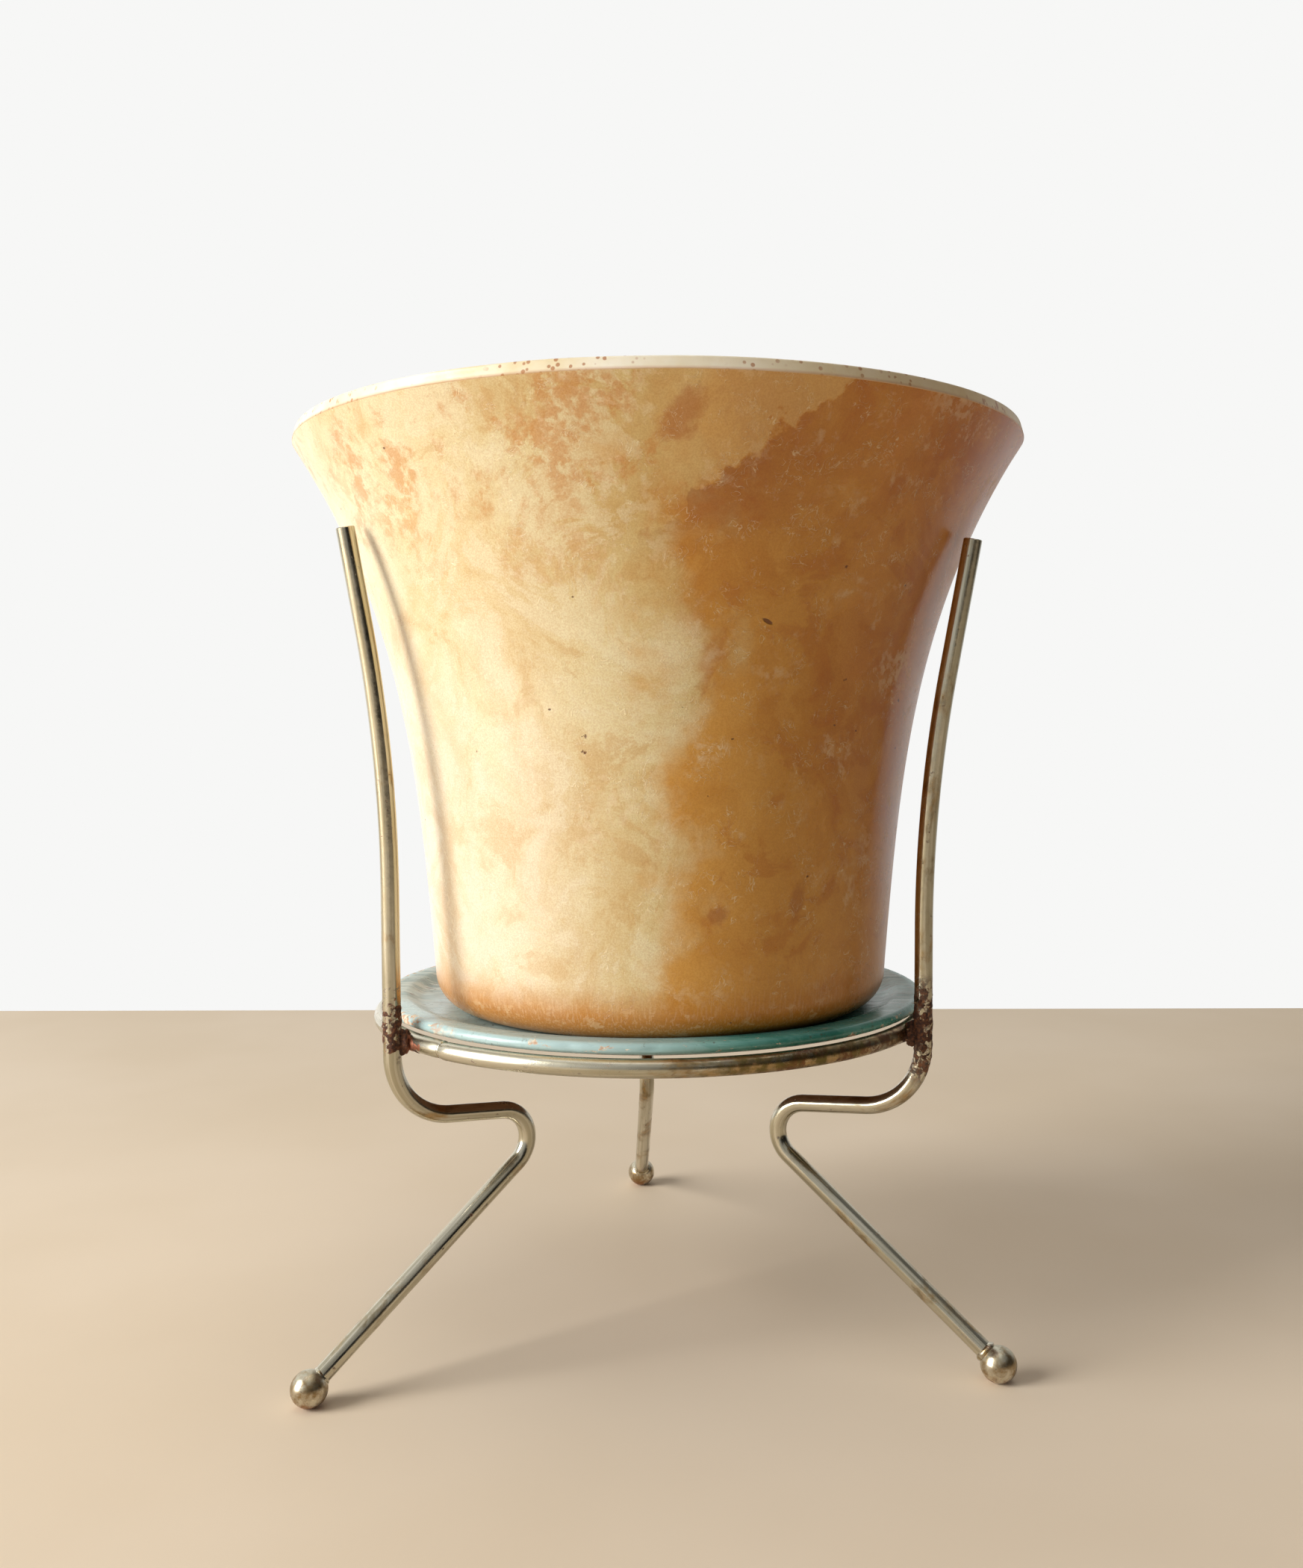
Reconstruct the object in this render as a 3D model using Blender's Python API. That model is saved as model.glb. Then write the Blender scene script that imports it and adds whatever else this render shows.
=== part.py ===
"""A flared pot standing on a round painted plate, carried by a wire stand.

The stand is a horizontal hoop brazed inside three bent rod legs that end in
ball feet.  The plate lies loose on the hoop and the pot stands loose on the
plate, so both lift straight up.  Metres, +Z up, feet on z = 0.  The front of
the object looks towards -Y, and the origin is the bottom centre of its box.
"""

import math

import bmesh
import bpy
from mathutils import Matrix, Vector

MM = 0.001
GAP = 0.3 * MM                       # left between pieces that touch

# Round stock
ROD_R = 6.35 / 2 * MM                # quarter-inch rod: hoop and legs
BALL_R = 12.7 / 2 * MM               # half-inch ball feet
BALL_Z = BALL_R - 0.1 * MM           # each ball is worn flat where it stands
FACET = 5.6 * MM                     # ball centre to the flat the rod meets

# Hoop
HOOP_R = 103.4 * MM                  # centre line
HOOP_Z = 119.3 * MM
SEAM_AZ = -42.0                      # where the hoop's two ends meet, degrees
SEAM_OPEN = 1.2 * MM                 # space between the ends, filled by weld
BEAD_LEN = 0.6 * MM

# Legs, as radius and height in each leg's own upright plane
LEG_R = 111.0 * MM                   # upright stretch beside the hoop
LEAN = math.radians(10.5)            # outward lean of the top stretch
LEAN_BEND_R = 500 * MM
SHOULDER_Z = 93.2 * MM               # corner below the hoop, before rounding
SHOULDER_BEND_R = 24 * MM
KNEE_Z = 85.8 * MM                   # innermost corner, before rounding
KNEE_BEND_R = 11.3 * MM

# Azimuths are degrees round +Z from the front (-Y), positive towards +X.
# The bends of a hand-made stand differ a little from leg to leg.
LEGS = {
    "left": {"az": -52.8, "top_r": 125.2 * MM, "top_z": 295.0 * MM,
             "knee_r": 38.9 * MM, "foot_r": 143.4 * MM},
    "right": {"az": 60.8, "top_r": 127.6 * MM, "top_z": 291.4 * MM,
              "knee_r": 36.6 * MM, "foot_r": 139.0 * MM},
    "back": {"az": 183.2, "top_r": 126.0 * MM, "top_z": 293.0 * MM,
             "knee_r": 37.7 * MM, "foot_r": 144.2 * MM},
}

# Plate: a shallow well inside a raised bullnose rim
PLATE_R = 104.3 * MM
PLATE_RIM = 4.2 * MM                 # rim thickness
PLATE_WELL = 2.6 * MM                # how far the well lies below the rim
PLATE_FLOOR = 4.0 * MM               # thickness under the well
PLATE_UNDERCUT = 3.2 * MM            # how far in the rim's underside starts to curve up
WELL_R, WELL_EDGE_R = 89 * MM, 95 * MM
UNDER_R, UNDER_EDGE_R = 92 * MM, 97 * MM
PLATE_AT = (0.4 * MM, 1.85 * MM)     # from the stand's axis

# Pot: radius = base + taper * h + flare * (h / 0.2) ** power
POT_BASE_R = 83.8 * MM
POT_TAPER = 0.072
POT_FLARE = 32.0 * MM
POT_POWER = 3.4
POT_CORNER = 12.6 * MM               # rounding of the bottom edge
POT_LIP_Z = 204.6 * MM               # where the flare ends in a blunt lip
POT_H = 208.4 * MM
POT_TOP_R = 132.2 * MM
POT_WALL = 4.2 * MM
POT_LIP_WALL = 3.6 * MM
POT_FLOOR = 5.0 * MM
POT_AT = (3.66 * MM, -11.8 * MM)     # from the stand's axis
FLARE_FROM = 0.2                     # height that POT_FLARE refers to

# Facets
ROUND_SEGS = 60
ROD_SEGS = 12

PLATE_UNDER = HOOP_Z + ROD_R + GAP
PLATE_TOP = PLATE_UNDER + PLATE_RIM
POT_Z = PLATE_TOP - PLATE_WELL + GAP


def clear_scene():
    for obj in list(bpy.data.objects):
        bpy.data.objects.remove(obj, do_unlink=True)


def material(name, colour, roughness, metallic=0.0):
    mat = bpy.data.materials.new(name)
    mat.use_nodes = True
    shader = mat.node_tree.nodes["Principled BSDF"]
    shader.inputs["Base Color"].default_value = (*colour, 1.0)
    shader.inputs["Roughness"].default_value = roughness
    shader.inputs["Metallic"].default_value = metallic
    return mat


def empty(name, parent=None, at=(0, 0, 0), turn_z=0.0):
    obj = bpy.data.objects.new(name, None)
    bpy.context.collection.objects.link(obj)
    obj.parent = parent
    obj.location = at
    obj.rotation_euler = (0, 0, turn_z)
    return obj


def solid(name, bm, mat, parent, at=(0, 0, 0), crease=40):
    bmesh.ops.recalc_face_normals(bm, faces=bm.faces)
    mesh = bpy.data.meshes.new(name)
    bm.to_mesh(mesh)
    bm.free()
    mesh.shade_smooth()
    mesh.set_sharp_from_angle(angle=math.radians(crease))
    mesh.materials.append(mat)
    obj = bpy.data.objects.new(name, mesh)
    bpy.context.collection.objects.link(obj)
    obj.parent = parent
    obj.location = at
    return obj


def cutter(name, bm, parent, at=(0, 0, 0)):
    obj = solid(name, bm, MATERIALS["braze"], parent, at)
    obj.hide_render = True
    obj.display_type = "WIRE"
    return obj


def boolean(obj, operation, other):
    mod = obj.modifiers.new(operation.lower(), "BOOLEAN")
    mod.operation = operation
    mod.object = other
    mod.solver = "EXACT"


def bridge(bm, rings, closed=False):
    """Quads between neighbouring rings of vertices, each ring a loop."""
    pairs = list(zip(rings, rings[1:]))
    if closed:
        pairs.append((rings[-1], rings[0]))
    for low, high in pairs:
        count = len(low)
        for i in range(count):
            j = (i + 1) % count
            bm.faces.new((low[i], low[j], high[j], high[i]))


def lathe(profile, segs=ROUND_SEGS, closed=False):
    """Turn (radius, height) points round +Z.  An open profile starts and ends in flat caps."""
    bm = bmesh.new()
    rings = []
    for radius, height in profile:
        ring = []
        for i in range(segs):
            a = 2 * math.pi * i / segs
            ring.append(bm.verts.new((radius * math.cos(a), radius * math.sin(a), height)))
        rings.append(ring)
    bridge(bm, rings, closed)
    if not closed:
        bm.faces.new(rings[0])
        bm.faces.new(rings[-1])
    return bm


def arc(cx, cz, radius, start, end, count):
    """Points on a circle in the radius-height plane, angles in degrees."""
    return [(cx + radius * math.cos(math.radians(start + (end - start) * i / count)),
             cz + radius * math.sin(math.radians(start + (end - start) * i / count)))
            for i in range(count + 1)]


def rounded_path(corners, radii, step):
    """A path through (r, z) corners, each inner corner rounded to its bend radius."""
    points = [Vector(corners[0])]
    for before, corner, after, radius in zip(corners, corners[1:], corners[2:], radii):
        corner = Vector(corner)
        back = (Vector(before) - corner).normalized()
        ahead = (Vector(after) - corner).normalized()
        half = math.acos(max(-1.0, min(1.0, back.dot(ahead)))) / 2
        centre = corner + (back + ahead).normalized() * (radius / math.sin(half))
        first = corner + back * (radius / math.tan(half)) - centre
        last = corner + ahead * (radius / math.tan(half)) - centre
        sweep = math.atan2(first.x * last.y - first.y * last.x, first.dot(last))
        count = max(4, round(abs(sweep) / step))
        for i in range(count + 1):
            c, s = math.cos(sweep * i / count), math.sin(sweep * i / count)
            points.append(centre + Vector((first.x * c - first.y * s,
                                           first.x * s + first.y * c)))
    points.append(Vector(corners[-1]))
    return points


def rod(points, radius=ROD_R, segs=ROD_SEGS):
    """A round bar along a path in the X-Z plane, with flat ends."""
    bm = bmesh.new()
    rings = []
    for i, point in enumerate(points):
        ahead = points[min(i + 1, len(points) - 1)]
        behind = points[max(i - 1, 0)]
        along = (ahead - behind).normalized()
        across = Vector((along.y, -along.x))
        ring = []
        for k in range(segs):
            a = 2 * math.pi * k / segs
            flat = point + across * (radius * math.cos(a))
            ring.append(bm.verts.new((flat.x, radius * math.sin(a), flat.y)))
        rings.append(ring)
    bridge(bm, rings)
    bm.faces.new(rings[0])
    bm.faces.new(rings[-1])
    return bm


def hoop(radius, open_at=None, opening=0.0):
    """A bar bent to a circle; with open_at (degrees) its two ends leave an opening."""
    bm = bmesh.new()
    spare = opening / HOOP_R
    start = math.radians(open_at - 90) + spare / 2 if open_at is not None else 0.0
    turns = ROUND_SEGS + 1 if open_at is not None else ROUND_SEGS
    rings = []
    for i in range(turns):
        a = start + (2 * math.pi - spare) * i / ROUND_SEGS
        ring = []
        for k in range(ROD_SEGS):
            b = 2 * math.pi * k / ROD_SEGS
            r = HOOP_R + radius * math.cos(b)
            ring.append(bm.verts.new((r * math.cos(a), r * math.sin(a), radius * math.sin(b))))
        rings.append(ring)
    bridge(bm, rings, closed=open_at is None)
    if open_at is not None:
        bm.faces.new(rings[0])
        bm.faces.new(rings[-1])
    return bm


def ellipsoid(radii, at):
    bm = bmesh.new()
    bmesh.ops.create_icosphere(bm, subdivisions=2, radius=1.0,
                               matrix=Matrix.Translation(at) @ Matrix.Diagonal((*radii, 1.0)))
    return bm


def cut_flat(bm, at, normal):
    """Slice off what lies beyond a plane and close the cut with one flat face."""
    geom = bm.verts[:] + bm.edges[:] + bm.faces[:]
    cut = bmesh.ops.bisect_plane(bm, geom=geom, plane_co=at, plane_no=normal, clear_outer=True)
    edges = [e for e in cut["geom_cut"] if isinstance(e, bmesh.types.BMEdge)]
    bmesh.ops.contextual_create(bm, geom=edges)


def leg_path(leg):
    """Corners of one leg from its top end to where it meets the ball."""
    top = (leg["top_r"], leg["top_z"])
    lean_z = leg["top_z"] - (leg["top_r"] - LEG_R) / math.tan(LEAN)
    foot = Vector((leg["foot_r"], BALL_Z))
    knee = Vector((leg["knee_r"], KNEE_Z))
    up_the_rod = (knee - foot).normalized()
    end = foot + up_the_rod * (FACET + GAP)
    corners = [top, (LEG_R, lean_z), (LEG_R, SHOULDER_Z), tuple(knee), tuple(end)]
    return corners, up_the_rod


def make_ball(name, leg, parent):
    """A ball foot, flat underneath and where the rod is joined to it."""
    up_the_rod = leg_path(leg)[1]
    bm = bmesh.new()
    bmesh.ops.create_uvsphere(bm, u_segments=20, v_segments=12, radius=BALL_R)
    cut_flat(bm, (0, 0, -BALL_Z), (0, 0, -1))
    along = Vector((up_the_rod.x, 0, up_the_rod.y))
    cut_flat(bm, along * FACET, along)
    return solid(name, bm, MATERIALS["steel"], parent, (leg["foot_r"], 0, BALL_Z))


def make_foot_braze(name, leg, parent):
    """A small collar of braze round the rod where it meets the ball."""
    up_the_rod = leg_path(leg)[1]
    inner = ROD_R + GAP
    clear = BALL_R + GAP
    touch = math.sqrt(clear ** 2 - inner ** 2) + 0.05 * MM
    outer = inner + 1.0 * MM
    skirt = math.sqrt(clear ** 2 - outer ** 2) + 0.05 * MM
    profile = [(inner, touch), (outer, skirt), (outer + 0.2 * MM, skirt + 0.7 * MM),
               (inner + 0.5 * MM, touch + 1.4 * MM), (inner, touch + 1.7 * MM)]
    bm = lathe(profile, segs=16, closed=True)
    tilt = math.atan2(up_the_rod.x, up_the_rod.y)
    bm.transform(Matrix.Rotation(tilt, 4, "Y"))
    return solid(name, bm, MATERIALS["braze"], parent, (leg["foot_r"], 0, BALL_Z))


def make_hoop_braze(name, parent):
    """Braze that fills between hoop and leg and has run up the leg's inner side."""
    middle = (HOOP_R + LEG_R) / 2
    lump = solid(name, ellipsoid((3.6 * MM, 4.8 * MM, 4.4 * MM), (middle, 0, HOOP_Z)),
                 MATERIALS["braze"], parent)
    run_up = cutter(name + "_run", ellipsoid((2.6 * MM, 3.9 * MM, 11 * MM),
                                             (LEG_R - 1.2 * MM, 0, HOOP_Z + 7.5 * MM)), parent)
    upright = bmesh.new()
    bmesh.ops.create_cone(upright, cap_ends=True, segments=24, radius1=ROD_R + GAP,
                          radius2=ROD_R + GAP, depth=60 * MM,
                          matrix=Matrix.Translation((LEG_R, 0, HOOP_Z)))
    leg_space = cutter(name + "_leg_space", upright, parent)
    hoop_bm = hoop(ROD_R + GAP)
    hoop_space = cutter(name + "_hoop_space", hoop_bm, parent, (0, 0, HOOP_Z))
    boolean(lump, "UNION", run_up)
    boolean(lump, "DIFFERENCE", leg_space)
    boolean(lump, "DIFFERENCE", hoop_space)
    return lump


def make_leg(side, stand):
    leg = LEGS[side]
    frame = empty(side + "_leg_plane", stand, turn_z=math.radians(leg["az"] - 90))
    corners = leg_path(leg)[0]
    path = rounded_path(corners, (LEAN_BEND_R, SHOULDER_BEND_R, KNEE_BEND_R), math.radians(11))
    solid("leg_" + side, rod(path), MATERIALS["steel"], frame)
    make_ball("foot_ball_" + side, leg, frame)
    make_foot_braze("foot_braze_" + side, leg, frame)
    make_hoop_braze("hoop_braze_" + side, frame)


def make_hoop(stand):
    solid("hoop", hoop(ROD_R, SEAM_AZ, SEAM_OPEN), MATERIALS["steel"], stand, (0, 0, HOOP_Z))
    bead = bmesh.new()
    seam = math.radians(SEAM_AZ - 90)
    place = Matrix.Rotation(seam, 4, "Z") @ Matrix.Translation((HOOP_R, 0, 0))
    bmesh.ops.create_cone(bead, cap_ends=True, segments=ROD_SEGS, radius1=ROD_R,
                          radius2=ROD_R, depth=BEAD_LEN,
                          matrix=place @ Matrix.Rotation(math.pi / 2, 4, "X"))
    solid("hoop_weld", bead, MATERIALS["braze"], stand, (0, 0, HOOP_Z))


def make_plate(stand):
    """A painted plate; its rim lies on the hoop and its well hangs inside the hoop."""
    nose = PLATE_RIM / 2
    top, well = PLATE_RIM, PLATE_RIM - PLATE_WELL
    profile = [(8 * MM, well - PLATE_FLOOR), (UNDER_R, well - PLATE_FLOOR), (UNDER_EDGE_R, 0.0)]
    for swing, height in arc(0, nose, nose, -90, 0, 5):
        profile.append((PLATE_R - PLATE_UNDERCUT + swing * PLATE_UNDERCUT / nose, height))
    profile += arc(PLATE_R - nose, nose, nose, 18, 90, 4)
    profile += [(WELL_EDGE_R, top), (WELL_R, well), (8 * MM, well)]
    solid("plate", lathe(profile), MATERIALS["paint"], stand,
          (PLATE_AT[0], PLATE_AT[1], PLATE_UNDER))


def pot_radius(height):
    return POT_BASE_R + POT_TAPER * height + POT_FLARE * (height / FLARE_FROM) ** POT_POWER


def pot_slope(height):
    power = POT_POWER - 1
    return POT_TAPER + POT_FLARE * POT_POWER / FLARE_FROM * (height / FLARE_FROM) ** power


def pot_inner_radius(height):
    return pot_radius(height) - POT_WALL * math.hypot(1.0, pot_slope(height))


def make_pot(stand):
    """The flared pot: rounded bottom edge, bell-shaped wall, blunt upright lip."""
    wall_foot = pot_radius(POT_CORNER)
    profile = [(8 * MM, 0.0)]
    profile += arc(wall_foot - POT_CORNER, POT_CORNER, POT_CORNER, -90, -4, 6)
    outer_rows = 13
    for i in range(1, outer_rows + 1):
        height = POT_CORNER + (POT_LIP_Z - POT_CORNER) * (i / outer_rows) ** 0.8
        profile.append((pot_radius(height), height))
    round_off = 0.6 * MM
    profile += [(POT_TOP_R, POT_H - round_off), (POT_TOP_R - round_off, POT_H),
                (POT_TOP_R - POT_LIP_WALL, POT_H)]
    inner_rows, inner_top = 8, POT_H - 9 * MM
    inner_corner = POT_CORNER - POT_WALL
    floor_edge = POT_FLOOR + inner_corner
    for i in range(inner_rows):
        height = inner_top + (floor_edge - inner_top) * i / inner_rows
        profile.append((pot_inner_radius(height), height))
    inner_foot = pot_inner_radius(floor_edge)
    profile += arc(inner_foot - inner_corner, floor_edge, inner_corner, 0, -90, 4)
    profile.append((8 * MM, POT_FLOOR))
    solid("pot", lathe(profile), MATERIALS["pot"], stand, (POT_AT[0], POT_AT[1], POT_Z))


def stand_axis():
    """Where the stand's axis lies so that the whole object's box is centred on the origin."""
    back = LEGS["back"]
    rear = back["foot_r"] * -math.cos(math.radians(back["az"])) + BALL_R
    front = POT_AT[1] - pot_radius(POT_LIP_Z)
    return (-POT_AT[0], -(rear + front) / 2, 0.0)


clear_scene()
MATERIALS = {
    "steel": material("plated_steel", (0.52, 0.46, 0.36), 0.32, 1.0),
    "braze": material("rusty_braze", (0.20, 0.085, 0.045), 0.8, 0.2),
    "paint": material("turquoise_paint", (0.30, 0.56, 0.53), 0.45),
    "pot": material("honey_resin", (0.62, 0.36, 0.12), 0.35),
}
STAND = empty("stand", at=stand_axis())
make_hoop(STAND)
for leg_side in LEGS:
    make_leg(leg_side, STAND)
make_plate(STAND)
make_pot(STAND)
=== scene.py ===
"""A flared resin pot on a painted plate, carried by a wire stand, in a plain pale studio.

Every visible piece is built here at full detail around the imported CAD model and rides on
its body.  Metres, +Z up, the front towards -Y.
"""

import math

import bmesh
import bpy
from mathutils import Matrix, Vector, noise


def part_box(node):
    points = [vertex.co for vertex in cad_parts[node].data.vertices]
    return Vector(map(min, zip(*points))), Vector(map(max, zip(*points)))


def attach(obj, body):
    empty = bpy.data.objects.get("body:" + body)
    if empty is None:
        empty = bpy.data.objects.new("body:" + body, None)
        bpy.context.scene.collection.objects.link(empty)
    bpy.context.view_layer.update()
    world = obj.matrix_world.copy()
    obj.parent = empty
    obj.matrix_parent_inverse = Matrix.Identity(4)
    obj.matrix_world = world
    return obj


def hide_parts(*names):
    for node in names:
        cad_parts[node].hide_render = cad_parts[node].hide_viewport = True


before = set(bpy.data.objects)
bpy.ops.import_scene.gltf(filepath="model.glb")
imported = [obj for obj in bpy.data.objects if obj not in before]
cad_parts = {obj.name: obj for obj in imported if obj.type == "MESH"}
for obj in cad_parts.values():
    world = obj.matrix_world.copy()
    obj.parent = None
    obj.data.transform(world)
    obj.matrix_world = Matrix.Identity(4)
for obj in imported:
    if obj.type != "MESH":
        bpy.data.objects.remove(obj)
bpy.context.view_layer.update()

MM = 0.001
TAU = 2 * math.pi


# ---------------------------------------------------------------- places from the CAD
def middle(node):
    low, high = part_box(node)
    return (low + high) / 2


AXIS = middle("hoop")                         # the stand's axis, at the hoop's height
HOOP_Z = AXIS.z
POT_LOW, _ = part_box("pot")
POT_AT = Vector((middle("pot").x, middle("pot").y, POT_LOW.z))
_, PLATE_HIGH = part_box("plate")
PLATE_AT = Vector((middle("plate").x, middle("plate").y, PLATE_HIGH.z))

ROD_R = 3.175 * MM
HOOP_R = 103.4 * MM
SEAM_AZ = math.radians(-42.0)
LEG_R = 111.0 * MM
LEAN = math.radians(10.5)
SHOULDER_Z, KNEE_Z = 93.2 * MM, 85.8 * MM
BENDS = (500 * MM, 24 * MM, 11.3 * MM)        # bend radii at the lean, the shoulder, the knee
BALL_R = 6.35 * MM
FACET = 5.6 * MM                              # from the ball's middle to its face on the rod
FLAT = BALL_R - 0.1 * MM                      # and to the face it stands on

# az is in degrees from the front, positive to the right, and each _r is from the axis.  The
# braze runs up the leg from low to high, counted from the hoop, and to reach along the hoop on
# both sides.  cover is its share on the leg's outer side.  burnt is how far below the hoop the
# rod is burnt, and scorch how strongly.  bead is the size of the braze at the ball.  copper and
# pale are how much of the braze shows bare metal and flux.
LEGS = {
    "left": {"az": -52.8, "top_r": 125.2 * MM, "top_z": 295.0 * MM,
             "knee_r": 38.9 * MM, "foot_r": 143.4 * MM,
             "low": -4 * MM, "high": 18 * MM, "reach": 12 * MM, "cover": 0.55,
             "burnt": 6 * MM, "scorch": 0.3, "bead": 0.25, "copper": 0.6, "pale": 0.05},
    "right": {"az": 60.8, "top_r": 127.6 * MM, "top_z": 291.4 * MM,
              "knee_r": 36.6 * MM, "foot_r": 139.0 * MM,
              "low": -9 * MM, "high": 18 * MM, "reach": 9 * MM, "cover": 0.6,
              "burnt": 17 * MM, "scorch": 0.62, "bead": 1.0, "copper": 0.2, "pale": 0.32},
    "back": {"az": 183.2, "top_r": 126.0 * MM, "top_z": 293.0 * MM,
             "knee_r": 37.7 * MM, "foot_r": 144.2 * MM,
             "low": -9 * MM, "high": 14 * MM, "reach": 10 * MM, "cover": 0.3,
             "burnt": 6 * MM, "scorch": 0.3, "bead": 0.4, "copper": 0.3, "pale": 0.3},
}


# ---------------------------------------------------------------- node graphs
def rgb(r, g, b):
    """A linear colour from display values of 0 to 255."""
    def lin(v):
        v /= 255
        return v / 12.92 if v <= 0.04045 else ((v + 0.055) / 1.055) ** 2.4
    return (lin(r), lin(g), lin(b), 1.0)


class Graph:
    """Short calls that add nodes to one tree and link them up."""

    def __init__(self, tree):
        self.tree = tree

    def node(self, kind, **settings):
        node = self.tree.nodes.new("ShaderNode" + kind)
        for key, value in settings.items():
            setattr(node, key, value)
        return node

    def put(self, socket, value):
        if isinstance(value, bpy.types.NodeSocket):
            self.tree.links.new(value, socket)
        else:
            socket.default_value = value

    def split(self, vector):
        node = self.node("SeparateXYZ")
        self.put(node.inputs[0], vector)
        return node.outputs

    def math(self, operation, a, b=0.0):
        node = self.node("Math", operation=operation)
        self.put(node.inputs[0], a)
        self.put(node.inputs[1], b)
        return node.outputs[0]

    def fold(self, operation, result, *others):
        """One value from several, joined two at a time."""
        for other in others:
            result = self.math(operation, result, other)
        return result

    def add(self, *terms):
        return self.fold("ADD", *terms)

    def mul(self, *factors):
        return self.fold("MULTIPLY", *factors)

    def most(self, *values):
        return self.fold("MAXIMUM", *values)

    def length(self, a, b):
        return self.math("SQRT", self.add(self.mul(a, a), self.mul(b, b)))

    def ease(self, value, start, end, low=0.0, high=1.0):
        """Smooth step of value from start to end, giving low to high."""
        node = self.node("MapRange", interpolation_type="SMOOTHSTEP")
        self.put(node.inputs[0], value)
        for i, v in enumerate((start, end, low, high), 1):
            node.inputs[i].default_value = v
        return node.outputs[0]


class Material(Graph):
    """A new material, and short calls for its patterns and colours."""

    def __init__(self, name, **shader):
        self.mat = bpy.data.materials.new(name)
        self.mat.use_nodes = True
        super().__init__(self.mat.node_tree)
        self.shader = self.tree.nodes["Principled BSDF"]
        for key, value in shader.items():
            self.out(key, value)

    def out(self, name, value):
        self.put(self.shader.inputs[name], value)

    def coords(self):
        return self.node("TexCoord").outputs["Object"]

    def attribute(self, name):
        return self.node("Attribute", attribute_name=name).outputs["Vector"]

    def stretch(self, vector, scale):
        node = self.node("Mapping")
        self.put(node.inputs["Vector"], vector)
        self.put(node.inputs["Scale"], scale)
        return node.outputs["Vector"]

    def noise(self, vector, scale, detail, rough, distort=0.0):
        node = self.node("TexNoise")
        self.put(node.inputs["Vector"], vector)
        self.put(node.inputs["Scale"], scale)
        self.put(node.inputs["Detail"], detail)
        self.put(node.inputs["Roughness"], rough)
        self.put(node.inputs["Distortion"], distort)
        return node.outputs["Fac"]

    def swing(self, pattern, size):
        """A pattern about zero instead of about a half, times size."""
        return self.mul(self.math("SUBTRACT", pattern, 0.5), size)

    def cells(self, vector, scale, chosen, channel=0):
        """Distance to the nearest cell's point, and 1 in the few cells above the chosen level."""
        node = self.node("TexVoronoi")
        self.put(node.inputs["Vector"], vector)
        self.put(node.inputs["Scale"], scale)
        level = self.split(node.outputs["Color"])[channel]
        return node.outputs["Distance"], self.math("GREATER_THAN", level, chosen)

    def ramp(self, value, stops):
        node = self.node("ValToRGB")
        self.put(node.inputs[0], value)
        elements = node.color_ramp.elements
        while len(elements) < len(stops):
            elements.new(0.5)
        for element, (place, colour) in zip(elements, stops):
            element.position = place
            element.color = colour
        return node.outputs[0]

    def mix(self, share, a, b, blend="MIX"):
        node = self.node("Mix", data_type="RGBA", blend_type=blend, clamp_factor=True)
        for socket, value in zip((node.inputs[0], node.inputs[6], node.inputs[7]), (share, a, b)):
            self.put(socket, value)
        return node.outputs[2]

    def paint(self, under, where, share, over):
        """The colour over laid on the colour under, at most to this share."""
        return self.mix(self.mul(where, share), under, over)

    def bump(self, height, distance, strength, under=None):
        node = self.node("Bump")
        self.put(node.inputs["Strength"], strength)
        self.put(node.inputs["Distance"], distance)
        self.put(node.inputs["Height"], height)
        if under is not None:
            self.put(node.inputs["Normal"], under)
        return node.outputs[0]


# ---------------------------------------------------------------- materials
# In every recipe lengths are in metres, angles in radians, and a noise is about 0 to 1.
POT_MEAN_R = 105 * MM
TIDE_Z, TIDE_ANGLE, TIDE_SLOPE = 177 * MM, 0.17, 11.0       # a point on the line, radians a metre


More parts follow.
